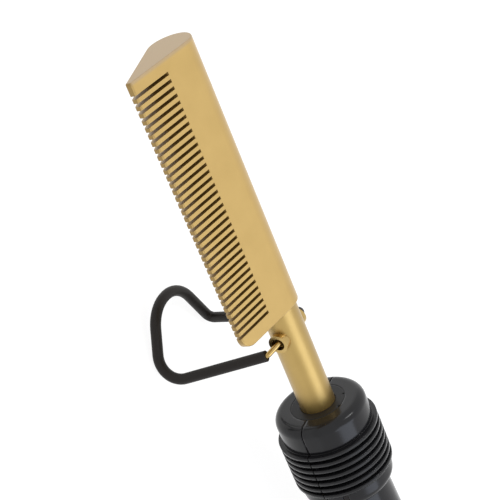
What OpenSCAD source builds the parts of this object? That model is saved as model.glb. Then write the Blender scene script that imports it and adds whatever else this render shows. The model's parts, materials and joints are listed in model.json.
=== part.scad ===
// Electric pressing comb with a folding wire stand.
//
// Every sub-part is drawn along the comb's own axis: X runs along the shank to the tip of the
// comb and is 0 on the front face of the handle, Y points to the tips of the teeth, and the
// foot of the stand is at -Z. stood() then sets the whole comb on a table, which is z = 0, on
// the heel of its stand and the rear end of its handle.

/* [Comb head] */
// Radius of the round spine, about the shank's axis
spine_r = 8.3; // [7.9:0.1:9.5]
// Shank's axis to the tips of the teeth
tooth_reach = 29.7; // [26:0.1:34]
// Thickness of a tooth at its tip
tooth_tip_w = 2; // [1.6:0.1:2.6]
// Shank's axis to the bottom of a slot
slot_reach = 13.6; // [12:0.1:16]
// Width of the slot between two teeth
slot_w = 1.2; // [0.9:0.05:1.6]
// Length of one tooth along the comb
tooth_w = 1.49; // [1.2:0.01:2]
// Number of slots
slot_count = 37; // [24:1:42]
// Solid block between the first slot and the tip
tip_block = 4.63; // [3.5:0.1:8]
// Solid block between the last slot and the rear
rear_block = 5.67; // [5.6:0.01:9]
// Radius of the rear corner on the toothed side
rear_corner_r = 5.5; // [2:0.1:5.5]

/* [Heater] */
// Radius of the heater cartridge
heater_r = 4.8; // [3:0.1:5.5]
// Metal left between the heater's bore and the tip
tip_wall = 8; // [5:0.5:14]

/* [Shank] */
// Outer radius of the shank tube
shank_r = 7; // [6.5:0.1:7.2]
// Wall of the shank tube
shank_wall = 1; // [0.8:0.1:1.4]
// Bare length of shank between the handle and the head
shank_bare = 46.1; // [44:0.1:60]
// Length of shank inside the head
shank_socket = 12; // [8:0.5:16]

/* [Stand] */
// Front face of the handle to the stand's pivot
pivot_x = 34.3; // [31:0.1:36]
// Radius of the wire
wire_r = 1.05; // [0.9:0.05:1.3]
// Radius of the black sleeve on the wire
sleeve_r = 2.15; // [1.6:0.05:2.3]
// Drop from the pivot to the middle of the foot's wire
foot_drop = 48.8; // [42:0.1:56]
// Half the width of the foot
foot_half_w = 19.8; // [19.5:0.1:23]
// Pivot to the front of the foot, along the comb
foot_toe = 17.7; // [17:0.1:20]
// Radius of a pivot boss
boss_r = 3.8; // [3.4:0.1:4.4]
// Outer face of a pivot boss, from the shank's axis
boss_reach = 9.5; // [8.8:0.1:9.8]

/* [Handle] */
// Length of the handle's two shells
handle_length = 146; // [140:1:170]
// Radius of the smooth collar at the front
collar_r = 18.3; // [17.8:0.1:19.5]
// Length of the smooth collar
collar_length = 10.6; // [10:0.1:13]
// Radius over the ribs
rib_r = 20.1; // [19.6:0.1:21]
// Distance from one rib to the next
rib_pitch = 3.05; // [2.8:0.05:3.2]
// Number of ribs
rib_count = 7; // [4:1:7]
// Radius of the smooth band behind the ribs
band_r = 18.5; // [18:0.1:19]
// Radius of the grip at its thickest
grip_r = 16.5; // [15.8:0.1:17.5]
// Wall of the shells along the grip
shell_wall = 2.4; // [2:0.1:3]
// Width of the seam between the two shells
seam_w = 0.5; // [0.2:0.05:0.6]

/* [Front ring] */
// Radius of the heat-proof ring round the shank
ring_r = 10.9; // [10:0.1:12]
// Length of the ring's face part
ring_face = 3.2; // [2.5:0.1:3.6]

/* [Switch and indicator] */
// Angle of the switch and the indicator, from the toothed side towards the top
control_angle = 23; // [18:1:30]
// Travel of the switch's slider
slider_travel = 8; // [6:0.5:9]
// Width of the switch's slot
switch_slot_w = 5; // [4:0.1:5.6]
// Length of the slider's button
slider_length = 10; // [8:0.5:11]
// Height of the button above the grip
slider_height = 1.8; // [1:0.1:2.6]

/* [Cord inlet] */
// Radius of the cord's hole
cord_hole_r = 3.6; // [3:0.1:4]
// Length of the swivel's nose behind the handle
nose_length = 6; // [5:0.5:8]

/* [Hidden] */
$fn = 64;

// Clearances: a snug fit of two fixed pieces, a running fit, and a gap that shows
snug = 0.05;
running = 0.06;
overshoot = 1;

// Comb head
tooth_pitch = slot_w + tooth_w;
head_length = tip_block + rear_block + slot_count * slot_w + (slot_count - 1) * tooth_w;
tip_x = shank_bare + head_length;
edge_bevel = 0.35;
// The flat sides start this far inside the spine's circle, so that they cut it cleanly
side_bite = 0.012;
spine_corner_r = 2;
heater_rear_x = shank_bare + shank_socket + 2;
heater_front_x = tip_x - tip_wall;

// Heater's end bead and the sleeve round its leads
bead_length = 3;
lead_sleeve_r = 3.6;
lead_sleeve_bore_r = 2.6;

// Stand: its wire starts in one boss, goes round the foot, and ends in the other boss
pin_r = wire_r - 0.05;
pin_inner_y = shank_r - 1.6;
boss_stem_r = 2.6;
boss_mouth_r = 2.3;
boss_mouth_depth = 1.5;
pin_outer_y = boss_reach + 0.7;
knee_reach = 1.8;
knee_back = 1.8;
knee_out = 3;
knee_drop = 3.4;
pin_bend_r = 2.4;
knee_bend_r = 4;
heel_bend_r = 4.5;
foot_bend_r = 18;
toe_bend_r = 15;
heel_x = pivot_x - 6.4;
heel_spread = 1.1;
foot_taper = 1.6;
foot_corner = 11.5;
wire_half = [
    [pivot_x, pin_outer_y, 0],
    [pivot_x, pin_outer_y + knee_reach, 0],
    [pivot_x - knee_back, pin_outer_y + knee_out, -knee_drop],
    [heel_x, foot_half_w + heel_spread, -foot_drop],
    [pivot_x + foot_toe - foot_corner, foot_half_w - foot_taper, -foot_drop],
    [pivot_x + foot_toe, foot_half_w - foot_taper - foot_corner, -foot_drop]
];
bend_radii = [0, pin_bend_r, knee_bend_r, heel_bend_r, foot_bend_r, toe_bend_r];
bend_steps = [0, 6, 3, 9, 5, 6];
sleeve_bore_gap = 0.04;
wire_sides = 12;
sleeve_sides = 18;
// Bare wire left at the toothed side, measured along the straight leg
bare_leg = 1;

// Handle
front_fillet_r = 3.5;
groove_depth = 1.9;
groove_w = 0.95;
rib_edge_r = 0.45;
ribs_end_x = -collar_length - rib_count * rib_pitch;
band_length = 4.05;
band_end_x = ribs_end_x - band_length;
shoulder_length = 3.6;
neck_r = 15.1;
shoulder_arc_r = (pow(shoulder_length, 2) + pow(band_r - neck_r, 2)) / (2 * (band_r - neck_r));
grip_start_x = band_end_x - shoulder_length - 0.4;
grip_belly_x = (grip_start_x - handle_length) / 2;
tail_r = 15.2;
tail_x = -handle_length;
tail_fillet_r = 4;
grip_steps = 12;
tail_wall = 5;
cavity_r = collar_r - 2.5;
cavity_front_x = -8.4;
cavity_taper_x = band_end_x + 2.5;
web_r = 9;
web_thickness = 2.1;
grip_cavity_r = neck_r - shell_wall;
tongue_wall = 1;
tongue_height = 1.2;

// Flange that locks the shank into the handle, between two webs in front of the band's end
flange_front_x = band_end_x + 8.5;
flange_thickness = 2.8;
flange_r = cavity_r - 0.4;
shank_rear_x = flange_front_x - flange_thickness - 3;

// Front ring: a face part in the handle's mouth and a wider flange behind it
ring_flange_r = ring_r + 2;
ring_length = ring_face + 3;
ring_notch_w = 0.9;
ring_notch_depth = 0.8;
ring_notch_angles = [-14, 28];
ring_gap = 0.12;

// Screws that hold the two shells together, in pillars that the leads run past
pillar_r = 4.2;
front_screw_x = grip_start_x - 3;
screw_r = 1.5;
screw_head_r = 2.9;
screw_head_h = 2.2;
screw_head_z = -6.5;
screw_length = 13;
screw_well_r = 3.3;

// Control board, lying on two webs of the lower shell
board_front_x = front_screw_x - pillar_r - 0.8;
board_length = 33;
board_rear_x = board_front_x - board_length;
board_half_w = 9.5;
board_thickness = 1.6;
board_z = -5.6;
board_top_z = board_z + board_thickness;
board_web = 2;
web_inset = 4;
screw_xs = [front_screw_x, board_rear_x - 7, tail_x + 13.5];

// Indicator window in the band, straight behind the last rib
window_length = 2.8;
window_w = 2.2;
window_front_x = ribs_end_x - 0.5;
lamp_r = 1.4;
lamp_length = 4.4;
lamp_x = window_front_x - window_length / 2 - 0.2;
lens_depth = 2.2;
lens_flange = 0.7;

// Slide switch in the grip, on the same line as the window
switch_rear_x = grip_start_x - 34.1;
switch_slot_length = slider_length + slider_travel + 1;
switch_body_length = switch_slot_length + 4;
switch_body_w = 8.6;
switch_floor = 5;
switch_top = 9.6;
slider_base_top = 11.4;
slider_base_w = 8;
slider_base_over = slider_travel + 0.7;
stem_w = switch_slot_w - 0.4;
cradle_wall = 1.6;
cradle_w = 12;

// Leads: they run side by side in the shank, and in two lanes past the pillars
lead_r = 0.7;
thin_lead_r = 0.5;
lead_bend_r = 2;
lead_rest_z = board_top_z + lead_r + snug;
sleeve_lead_y = 1.3;
lead_lane = pillar_r + lead_r + 0.5;

// Cord end: terminal block, swivel gland and its contact ring
block_front_x = screw_xs[1] - pillar_r - 1;
block_length = 14;
block_rear_x = block_front_x - block_length;
block_half_w = lead_lane + 2.6;
block_h = 7;
block_hole_r = 1.5;
block_screw_r = 1.3;
gland_neck_r = 6;
gland_flange_r = 8.4;
gland_flange = 2.4;
gland_nose_r = 7.4;
gland_mouth_r = 5.6;
gland_inner_x = tail_x + tail_wall + running + gland_flange;
contact_r = 6.2;
contact_wire = 0.8;

// The stance on the table: the line under the heel's bend and the handle's rear corner
heel_centre = [heel_x + heel_bend_r, -foot_drop + heel_bend_r];
tail_centre = [tail_x + tail_fillet_r, -tail_r + tail_fillet_r];
heel_reach_r = heel_bend_r + sleeve_r;
stance = heel_centre - tail_centre;
stance_tilt = asin((heel_reach_r - tail_fillet_r) / norm(stance)) - atan2(stance.y, stance.x);
stance_lift = tail_fillet_r - sin(stance_tilt) * tail_centre.x - cos(stance_tilt) * tail_centre.y;
front_reach = tip_x * cos(stance_tilt) + spine_r * sin(stance_tilt);
rear_reach = (tail_x - nose_length) * cos(stance_tilt) - gland_mouth_r * sin(stance_tilt);
middle_x = (front_reach + rear_reach) / 2;
middle_y = (tooth_reach - foot_half_w - 0.9 - sleeve_r) / 2;

gold = [0.80, 0.66, 0.40];
brass_wire = [0.85, 0.70, 0.38];
black_gloss = [0.13, 0.13, 0.14];
sleeve_black = [0.10, 0.09, 0.09];
steel = [0.62, 0.63, 0.65];
ceramic = [0.90, 0.88, 0.82];
board_green = [0.10, 0.32, 0.20];

// ---------------------------------------------------------------- helpers

function unit(v) = v / norm(v);
function middle(list) = [for (i = [1 : len(list) - 2]) list[i]];

// Points of the corner at point i: an arc of the given radius in the corner's own plane
function corner(points, i, radius, steps) =
    let (before = unit(points[i] - points[i - 1]),
         after = unit(points[i + 1] - points[i]),
         angle = acos(before * after),
         inward = unit(after - (after * before) * before),
         start = points[i] - radius * tan(angle / 2) * before)
    [for (s = [0 : steps])
        start + radius * (sin(s * angle / steps) * before
                          + (1 - cos(s * angle / steps)) * inward)];

// A path with rounded corners, through its first and last point
function rounded(points, radii, steps) = concat(
    [points[0]],
    [for (i = [1 : len(points) - 2]) each corner(points, i, radii[i], steps[i])],
    [points[len(points) - 1]]);

function mirrored_y(points) =
    [for (i = [len(points) - 1 : -1 : 0]) [points[i].x, -points[i].y, points[i].z]];
function backwards(list) = [for (i = [len(list) - 1 : -1 : 0]) list[i]];

// Direction of a path at point i, and the ring of points round it
function heading(path, i) = unit(path[min(i + 1, len(path) - 1)] - path[max(i - 1, 0)]);
function square_to(v, along) = unit(v - (v * along) * along);
function ring(centre, along, side, r, sides) =
    [for (k = [0 : sides - 1])
        centre + r * (cos(360 * k / sides) * side + sin(360 * k / sides) * cross(along, side))];

// Rings of points along a path, each turned as little as can be from the one before
function rings(path, r, sides) =
    [for (i = 0, side = square_to([0.31, 0.22, 1], heading(path, 0));
          i < len(path);
          i = i + 1, side = i < len(path) ? square_to(side, heading(path, i)) : side)
        each ring(path[i], heading(path, i), side, r, sides)];

// Triangles of the wall between ring i and ring i + 1, and of a flat end
function wall(i, sides, first) = [for (k = [0 : sides - 1])
    let (a = first + i * sides + k, b = first + i * sides + (k + 1) % sides)
    each [[a, b, b + sides], [a, b + sides, a + sides]]];
function reversed_faces(faces) = [for (f = faces) [f[2], f[1], f[0]]];

// A round rod swept along a path
module rod(path, r, sides) {
    n = len(path);
    faces = concat(
        [for (i = [0 : n - 2]) each wall(i, sides, 0)],
        [for (k = [1 : sides - 2]) [0, k + 1, k]],
        [for (k = [1 : sides - 2]) [(n - 1) * sides, (n - 1) * sides + k, (n - 1) * sides + k + 1]]);
    polyhedron(points = rings(path, r, sides), faces = reversed_faces(faces), convexity = 6);
}

// A line through simple points with small round corners, for a lead inside the comb
module lead(points, r = lead_r, bend_r = lead_bend_r) {
    radii = [for (p = points) bend_r];
    steps = [for (p = points) 3];
    rod(rounded(points, radii, steps), r, 8);
}

// Turns a shape drawn round +Z so that its +Z becomes the comb's -X
module along_handle() { rotate([0, -90, 0]) children(); }

// Turns the frame about X so that +Y points out through the switch and the window
module at_controls() { rotate([control_angle, 0, 0]) children(); }

// Sets the comb on the table, on the heel of its stand and the rear end of its handle
module stood() {
    translate([-middle_x, -middle_y, stance_lift])
        rotate([0, -stance_tilt, 0]) children();
}

// ---------------------------------------------------------------- comb head

// Cross-section of the toothed part: two flat sides that leave the round spine and run down
// to the tips of the teeth
module tooth_section() {
    half_tip = tooth_tip_w / 2;
    side_r = spine_r - side_bite;
    slope = acos(side_r / norm([tooth_reach, half_tip])) + atan2(half_tip, tooth_reach);
    touch = side_r * [cos(slope), sin(slope)];
    polygon([
        [0, 0],
        touch,
        [tooth_reach - edge_bevel, half_tip],
        [tooth_reach, half_tip - edge_bevel],
        [tooth_reach, edge_bevel - half_tip],
        [tooth_reach - edge_bevel, -half_tip],
        [touch.x, -touch.y]
    ]);
}

// What is cut off a square corner at the origin, whose sides run along +X and +Y
module corner_waste(r) {
    difference() {
        translate([-overshoot, -overshoot]) square(r + overshoot);
        translate([r, r]) circle(r = r);
    }
}

module comb_head() {
    deep = spine_r + overshoot;
    color(gold) difference() {
        union() {
            translate([shank_bare, 0, 0]) rotate([0, 90, 0])
                cylinder(r = spine_r, h = head_length);
            translate([shank_bare, 0, 0]) rotate([90, 0, 90])
                linear_extrude(height = head_length) tooth_section();
        }
        // rounded rear corners
        translate([shank_bare, tooth_reach, -deep]) linear_extrude(height = 2 * deep)
            mirror([0, 1]) corner_waste(rear_corner_r);
        translate([shank_bare, -spine_r, -deep]) linear_extrude(height = 2 * deep)
            corner_waste(spine_corner_r);
        // slots between the teeth
        for (i = [0 : slot_count - 1])
            translate([tip_x - tip_block - slot_w - i * tooth_pitch, slot_reach, -deep])
                cube([slot_w, tooth_reach, 2 * deep]);
        // socket of the shank and bore of the heater
        translate([shank_bare - overshoot, 0, 0]) rotate([0, 90, 0])
            cylinder(r = shank_r + snug, h = shank_socket + overshoot);
        translate([shank_bare, 0, 0]) rotate([0, 90, 0])
            cylinder(r = heater_r + snug, h = heater_front_x - shank_bare);
    }
}

module heater_cartridge() {
    color(steel) translate([heater_rear_x, 0, 0]) rotate([0, 90, 0])
        cylinder(r = heater_r, h = heater_front_x - heater_rear_x - 0.3);
}

module heater_end_bead() {
    color(ceramic) translate([heater_rear_x, 0, 0]) rotate([0, -90, 0])
        difference() {
            cylinder(r = heater_r - 0.4, h = bead_length);
            for (side = [-1, 1])
                translate([0, side * sleeve_lead_y, -overshoot])
                    cylinder(r = lead_r + snug, h = bead_length + 2 * overshoot);
        }
}

// Two leads from the heater, through the shank, to the front of the control board
module heater_leads() {
    fan = shank_rear_x - screw_xs[0] - pillar_r;
    lane = lead_lane + 0.8;
    color("white") for (side = [-1, 1]) lead([
        [heater_rear_x - 0.1, side * sleeve_lead_y, 0],
        [shank_rear_x - fan / 2, side * sleeve_lead_y, 0],
        [shank_rear_x - fan - 1, side * lane, board_top_z / 2],
        [board_front_x - 2, side * lane, lead_rest_z],
        [board_front_x - 5, side * lane, lead_rest_z]
    ]);
}

module lead_sleeve() {
    color(ceramic) translate([shank_rear_x - 1, 0, 0]) rotate([0, 90, 0]) difference() {
        cylinder(r = lead_sleeve_r, h = heater_rear_x - bead_length - shank_rear_x);
        translate([0, 0, -overshoot])
            cylinder(r = lead_sleeve_bore_r, h = heater_rear_x - shank_rear_x + 2 * overshoot);
    }
}

// ---------------------------------------------------------------- shank and stand

module shank_tube() {
    color(gold) difference() {
        translate([shank_rear_x, 0, 0]) rotate([0, 90, 0])
            cylinder(r = shank_r, h = shank_bare + shank_socket - shank_rear_x - 0.1);
        translate([shank_rear_x - overshoot, 0, 0]) rotate([0, 90, 0])
            cylinder(r = shank_r - shank_wall, h = shank_bare + shank_socket - shank_rear_x + 2 * overshoot);
        translate([pivot_x, -shank_r - overshoot, 0]) rotate([-90, 0, 0])
            cylinder(r = boss_stem_r + snug, h = 2 * (shank_r + overshoot));
    }
}

// Steel disc pressed on the shank, between two webs of the handle's shells
module shank_flange() {
    color(steel) translate([flange_front_x, 0, 0]) along_handle() difference() {
        cylinder(r = flange_r, h = flange_thickness);
        translate([0, 0, -overshoot])
            cylinder(r = shank_r + snug, h = flange_thickness + 2 * overshoot);
    }
}

// Heat-proof ring in the mouth of the handle, with the small notches that key it
module front_ring() {
    color(black_gloss) difference() {
        along_handle() union() {
            cylinder(r = ring_r, h = ring_length);
            translate([0, 0, ring_face]) cylinder(r = ring_flange_r, h = ring_length - ring_face);
        }
        along_handle() translate([0, 0, -overshoot])
            cylinder(r = shank_r + snug, h = ring_length + 2 * overshoot);
        for (angle = ring_notch_angles)
            rotate([90 + angle, 0, 0])
                translate([-1.2, ring_r - ring_notch_depth, -ring_notch_w / 2])
                cube([1.2 + overshoot, ring_notch_depth + overshoot, ring_notch_w]);
    }
}

// Boss on the shank that takes one end of the stand's wire, drawn on the toothed side
module pivot_boss() {
    color(brass_wire) difference() {
        translate([pivot_x, 0, 0]) rotate([-90, 0, 0]) union() {
            translate([0, 0, pin_inner_y]) cylinder(r = boss_stem_r, h = boss_reach - pin_inner_y);
            translate([0, 0, shank_r - 2]) cylinder(r = boss_r, h = boss_reach - shank_r + 2);
        }
        // the head of the boss sits on the round shank, and its stem goes through the wall
        difference() {
            translate([pivot_x - 2 * boss_r, 0, 0]) rotate([0, 90, 0])
                cylinder(r = shank_r + snug, h = 4 * boss_r);
            translate([pivot_x, 0, 0]) rotate([-90, 0, 0])
                cylinder(r = boss_stem_r, h = boss_reach);
        }
        // running bore of the wire, with a wide bevelled mouth
        translate([pivot_x, 0, 0]) rotate([-90, 0, 0])
            cylinder(r = pin_r + running, h = boss_reach + overshoot);
        translate([pivot_x, boss_reach - boss_mouth_depth, 0]) rotate([-90, 0, 0])
            cylinder(r1 = pin_r + running, r2 = boss_mouth_r, h = boss_mouth_depth);
        translate([pivot_x, boss_reach - 0.001, 0]) rotate([-90, 0, 0])
            cylinder(r = boss_mouth_r, h = overshoot);
    }
}

module pivot_boss_toothed_side() { pivot_boss(); }
module pivot_boss_spine_side() { mirror([0, 1, 0]) pivot_boss(); }

// Centre line of the stand's wire, from the toothed side round the foot to the spine side
wire_path = rounded(
    concat(wire_half, mirrored_y(wire_half)),
    concat(bend_radii, backwards(bend_radii)),
    concat(bend_steps, backwards(bend_steps)));

module bail_wire() {
    color(brass_wire) {
        rod(wire_path, wire_r, wire_sides);
        for (side = [0, 1]) mirror([0, side, 0])
            translate([pivot_x, pin_inner_y + 0.2, 0]) rotate([-90, 0, 0])
                cylinder(r = pin_r, h = pin_outer_y - pin_inner_y + 0.4);
    }
}

// Black sleeve on the wire: it starts down the leg on the toothed side, and at the boss on
// the other side
module bail_sleeve() {
    first_leg = bend_steps[1] + bend_steps[2] + 2;
    leg_start = wire_path[first_leg] + bare_leg * unit(wire_path[first_leg + 1] - wire_path[first_leg]);
    path = concat([leg_start],
                  [for (i = [first_leg + 1 : len(wire_path) - 2]) wire_path[i]]);
    n = len(path);
    outer = rings(path, sleeve_r, sleeve_sides);
    inner = rings(path, wire_r + sleeve_bore_gap, sleeve_sides);
    base = n * sleeve_sides;
    faces = concat(
        reversed_faces([for (i = [0 : n - 2]) each wall(i, sleeve_sides, 0)]),
        [for (i = [0 : n - 2]) each wall(i, sleeve_sides, base)],
        [for (k = [0 : sleeve_sides - 1]) let (next = (k + 1) % sleeve_sides)
            each [[k, next, base + next], [k, base + next, base + k]]],
        [for (k = [0 : sleeve_sides - 1])
            let (next = (k + 1) % sleeve_sides, last = (n - 1) * sleeve_sides)
            each [[last + next, last + k, base + last + next],
                  [last + k, base + last + k, base + last + next]]]);
    color(sleeve_black) polyhedron(points = concat(outer, inner), faces = faces, convexity = 8);
}

// ---------------------------------------------------------------- handle

// Radius of the grip, a shallow curve through its neck, its belly and its tail
function grip_radius(x) = x > grip_belly_x
    ? grip_r - (grip_r - neck_r) * pow((x - grip_belly_x) / (grip_start_x - grip_belly_x), 2)
    : grip_r - (grip_r - tail_r) * pow((grip_belly_x - x) / (grip_belly_x + handle_length), 2);

// Half outline of the handle: radius to the right, distance behind the front face upwards
module handle_outline() {
    ribs_base_r = rib_r - groove_depth;
    rib_half = (rib_pitch - groove_w) / 2;
    // collar with its rounded front edge
    square([collar_r - front_fillet_r, collar_length + 1]);
    translate([0, front_fillet_r]) square([collar_r, collar_length - front_fillet_r]);
    translate([collar_r - front_fillet_r, front_fillet_r]) circle(r = front_fillet_r);
    // ribs
    translate([0, collar_length - 1]) square([ribs_base_r, rib_count * rib_pitch + 2]);
    for (i = [0 : rib_count - 1])
        translate([0, collar_length + (i + 0.5) * rib_pitch]) {
            translate([0, -rib_half]) square([rib_r - rib_edge_r, 2 * rib_half]);
            translate([0, rib_edge_r - rib_half]) square([rib_r, 2 * (rib_half - rib_edge_r)]);
            for (side = [-1, 1])
                translate([rib_r - rib_edge_r, side * (rib_half - rib_edge_r)])
                    circle(r = rib_edge_r, $fn = 24);
        }
    // band and the shoulder that falls to the grip
    translate([0, -ribs_end_x]) square([band_r, ribs_end_x - band_end_x]);
    intersection() {
        translate([band_r - shoulder_arc_r, -band_end_x]) circle(r = shoulder_arc_r);
        translate([0, -band_end_x - 0.5]) square([band_r, shoulder_length + 0.8]);
    }
    translate([0, -band_end_x - 0.5]) square([neck_r - 0.3, shoulder_length + 1]);
    // grip and its rounded rear edge
    polygon(concat(
        [[0, -grip_start_x - 1], [neck_r, -grip_start_x - 1]],
        [for (s = [0 : grip_steps])
            let (x = grip_start_x + (tail_x + tail_fillet_r - grip_start_x) * s / grip_steps)
            [grip_radius(x), -x]],
        [[0, handle_length - tail_fillet_r]]));
    tail_edge_r = grip_radius(tail_x + tail_fillet_r) - tail_fillet_r;
    square([tail_edge_r, handle_length]);
    translate([tail_edge_r, handle_length - tail_fillet_r]) circle(r = tail_fillet_r);
}

// The hollow inside, wide behind the ribs and narrower along the grip
module cavity_outline() {
    polygon([
        [0, -cavity_front_x],
        [cavity_r, -cavity_front_x],
        [cavity_r, -cavity_taper_x],
        [grip_cavity_r, -grip_start_x],
        [grip_cavity_r, handle_length - tail_wall - tail_fillet_r + 2],
        [grip_cavity_r - 3, handle_length - tail_wall],
        [0, handle_length - tail_wall]
    ]);
}

// Two webs in the hollow, with the shank's flange between them
module handle_webs() {
    flange_rear = -flange_front_x + flange_thickness + snug;
    for (start = [-flange_front_x - snug - web_thickness, flange_rear])
        translate([web_r, start]) square([cavity_r - web_r + 0.5, web_thickness]);
}

module handle_solid() {
    along_handle() rotate_extrude() intersection() {
        handle_outline();
        square([rib_r + 1, handle_length]);
    }
}

module handle_hollow() {
    along_handle() rotate_extrude() difference() {
        cavity_outline();
        handle_webs();
    }
    // seat of the front ring, and the way through for the swivel's neck
    along_handle() translate([0, 0, -overshoot])
        cylinder(r = ring_r + ring_gap, h = overshoot - cavity_front_x);
    along_handle() translate([0, 0, ring_face - snug])
        cylinder(r = ring_flange_r + snug, h = ring_length - ring_face + 2 * snug);
    translate([tail_x - overshoot, 0, 0]) rotate([0, 90, 0])
        cylinder(r = gland_neck_r + running, h = tail_wall + 2 * overshoot);
}

// Upper or lower half of space, kept clear of the seam by the given gap
module half_space(side, gap) {
    depth = rib_r + overshoot;
    translate([tail_x - overshoot, -depth, side > 0 ? gap : -gap - depth])
        cube([handle_length + 2 * overshoot, 2 * depth, depth]);
}

// The thin inner lip of the lower shell, along the grip; spread widens it for its groove
module tongue(spread) {
    front = -grip_start_x + 4 - spread;
    rear = handle_length - tail_wall - 4 + spread;
    intersection() {
        along_handle() rotate_extrude() translate([grip_cavity_r, front])
            square([tongue_wall + spread, rear - front]);
        translate([tail_x, -rib_r, -seam_w])
            cube([handle_length, 2 * rib_r, seam_w + tongue_height + spread]);
    }
}

// Slot of the switch, and the stepped window of the indicator
module control_openings() {
    at_controls() {
        translate([switch_rear_x, grip_cavity_r - 3, -switch_slot_w / 2])
            cube([switch_slot_length, grip_r, switch_slot_w]);
        translate([window_front_x - window_length, cavity_r - 3, -window_w / 2])
            cube([window_length, rib_r, window_w]);
        translate([window_front_x - window_length - lens_flange, cavity_r - 3,
                   -window_w / 2 - lens_flange])
            cube([window_length + 2 * lens_flange, band_r - lens_depth + 0.9 - cavity_r + 3,
                  window_w + 2 * lens_flange]);
    }
}

// Two cross walls that hold the body of the switch between them, notched for the slider
module switch_cradle() {
    at_controls() for (x = [switch_rear_x - 2 - snug - cradle_wall,
                            switch_rear_x - 2 + switch_body_length + snug])
        translate([x, switch_floor, -cradle_w / 2]) difference() {
            cube([cradle_wall, grip_cavity_r + 0.6 - switch_floor, cradle_w]);
            translate([-overshoot, switch_top - switch_floor, (cradle_w - slider_base_w) / 2 - 0.15])
                cube([cradle_wall + 2 * overshoot, slider_base_top - switch_top + 0.15,
                      slider_base_w + 0.3]);
        }
}

module handle_shell_upper() {
    color(black_gloss) difference() {
        union() {
            intersection() {
                difference() { handle_solid(); handle_hollow(); }
                half_space(1, seam_w / 2);
            }
            for (x = screw_xs) translate([x, 0, seam_w / 2])
                cylinder(r = pillar_r, h = grip_cavity_r + 0.8);
            intersection() { switch_cradle(); half_space(1, seam_w / 2 + 0.2); }
        }
        control_openings();
        tongue(0.1);
        for (x = screw_xs) translate([x, 0, -overshoot])
            cylinder(r = screw_r + snug, h = screw_head_z + screw_length + overshoot + 0.5);
    }
}

module handle_shell_lower() {
    board_webs = [board_front_x - web_inset, board_rear_x + web_inset - board_web];
    color(black_gloss) difference() {
        union() {
            intersection() {
                difference() { handle_solid(); handle_hollow(); }
                half_space(-1, seam_w / 2);
            }
            tongue(0);
            for (x = screw_xs) translate([x, 0, -grip_cavity_r - 0.8])
                cylinder(r = pillar_r, h = grip_cavity_r + 0.8 - seam_w / 2);
            intersection() {
                along_handle() cylinder(r = grip_cavity_r + 0.6, h = handle_length - tail_wall);
                for (x = board_webs) translate([x, -grip_cavity_r, -grip_cavity_r - 1])
                    cube([board_web, 2 * grip_cavity_r, grip_cavity_r + 1 + board_z]);
            }
            intersection() {
                along_handle() cylinder(r = grip_cavity_r + 0.6, h = handle_length - tail_wall);
                translate([block_rear_x, -block_half_w, -grip_cavity_r - 1])
                    cube([block_length, 2 * block_half_w, grip_cavity_r + 1 - block_h / 2]);
            }
        }
        for (x = screw_xs) translate([x, 0, -rib_r - overshoot]) {
            cylinder(r = screw_well_r, h = rib_r + overshoot + screw_head_z);
            cylinder(r = screw_r + 0.2, h = rib_r + 2 * overshoot);
        }
    }
}

module shell_screws() {
    color(steel) for (x = screw_xs) translate([x, 0, screw_head_z]) difference() {
        union() {
            translate([0, 0, -screw_head_h]) cylinder(r = screw_head_r, h = screw_head_h);
            cylinder(r = screw_r, h = screw_length);
        }
        for (turn = [0, 90]) rotate([0, 0, turn])
            translate([-1.7, -0.35, -screw_head_h - overshoot]) cube([3.4, 0.7, overshoot + 1.2]);
    }
}

// ---------------------------------------------------------------- indicator and switch

module indicator_lens() {
    gap = snug;
    flange_bottom = band_r - lens_depth - 0.2;
    color([0.25, 0.05, 0.05]) at_controls() {
        translate([window_front_x - window_length + gap, flange_bottom, -window_w / 2 + gap])
            cube([window_length - 2 * gap, band_r - 0.25 - flange_bottom, window_w - 2 * gap]);
        translate([window_front_x - window_length - lens_flange + gap, flange_bottom,
                   -window_w / 2 - lens_flange + gap])
            cube([window_length + 2 * lens_flange - 2 * gap, 1.05,
                  window_w + 2 * lens_flange - 2 * gap]);
    }
}

module indicator_lamp() {
    color([0.7, 0.1, 0.1]) at_controls()
        translate([lamp_x, band_r - lens_depth - 0.3 - lamp_length, 0]) rotate([-90, 0, 0])
            cylinder(r = lamp_r, h = lamp_length);
}

module lamp_leads() {
    reach = band_r - lens_depth - 0.3 - lamp_length;
    y_lamp = reach * cos(control_angle) - 0.15;
    z_lamp = reach * sin(control_angle);
    apart = 0.6;
    lane = board_half_w - 1.2;
    color("red") for (side = [-1, 1]) lead([
        [lamp_x + side * apart, y_lamp, z_lamp],
        [lamp_x + side * apart, y_lamp - 2.4, z_lamp - 2],
        [board_front_x + 3, lane + side * apart, board_top_z + 3.4],
        [board_front_x - 2, lane + side * apart, board_top_z + 0.35]
    ], 0.4);
}

module switch_body() {
    color([0.2, 0.2, 0.22]) at_controls()
        translate([switch_rear_x - 2, switch_floor, -switch_body_w / 2 + 0.1]) difference() {
            cube([switch_body_length, switch_top - switch_floor, switch_body_w - 0.2]);
            // slot in the top for the slider's foot
            translate([3, switch_top - switch_floor - 2, switch_body_w / 2 - 1.6])
                cube([switch_body_length - 6, 3, 3]);
        }
}

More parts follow.
